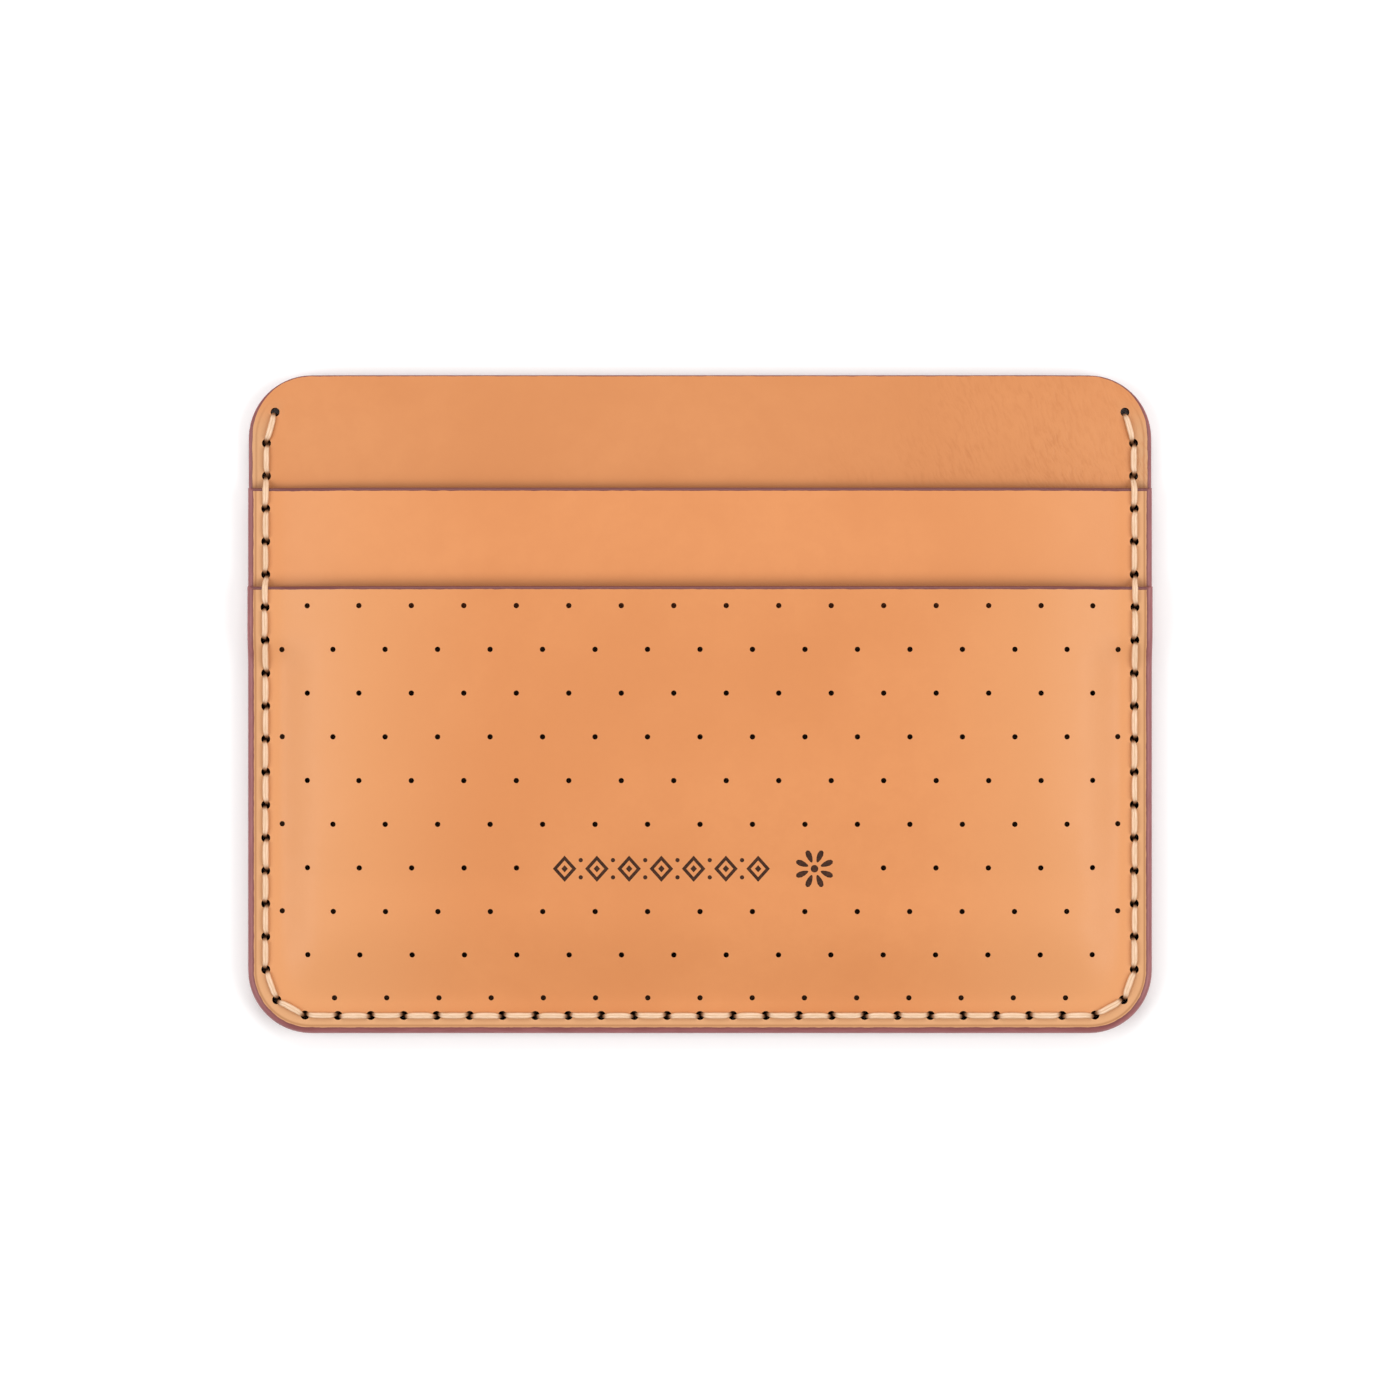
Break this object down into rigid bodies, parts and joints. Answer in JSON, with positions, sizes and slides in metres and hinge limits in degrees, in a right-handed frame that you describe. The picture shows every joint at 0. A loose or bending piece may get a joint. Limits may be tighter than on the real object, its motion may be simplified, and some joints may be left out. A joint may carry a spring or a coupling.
{
  "type": "card holder",
  "caption": "Flat sewn leather card holder with staggered front card slots, a perforated outer pocket and a centre pocket open along its top edge.",
  "frame": {"origin": "middle of the flat rear face, on the surface that the holder lies on", "axes": "+Z out of the front face, +Y towards the pocket mouths, +X to the right as seen from the front"},
  "size_m": [0.1, 0.0728, 0.0062],
  "materials": {
    "panel_leather": "smooth vegetable-tanned leather, satin, with burgundy painted edges",
    "slot_leather": "smooth vegetable-tanned leather, satin, with burgundy painted edges",
    "thread": "waxed cream linen thread"
  },
  "bodies": {
    "root": {"rear_panel": "panel_leather", "front_panel": "panel_leather", "upper_slot_panel": "slot_leather", "front_slot_panel": "slot_leather", "edge_thread": "thread", "tail_thread": "thread"}
  },
  "joints": []
}
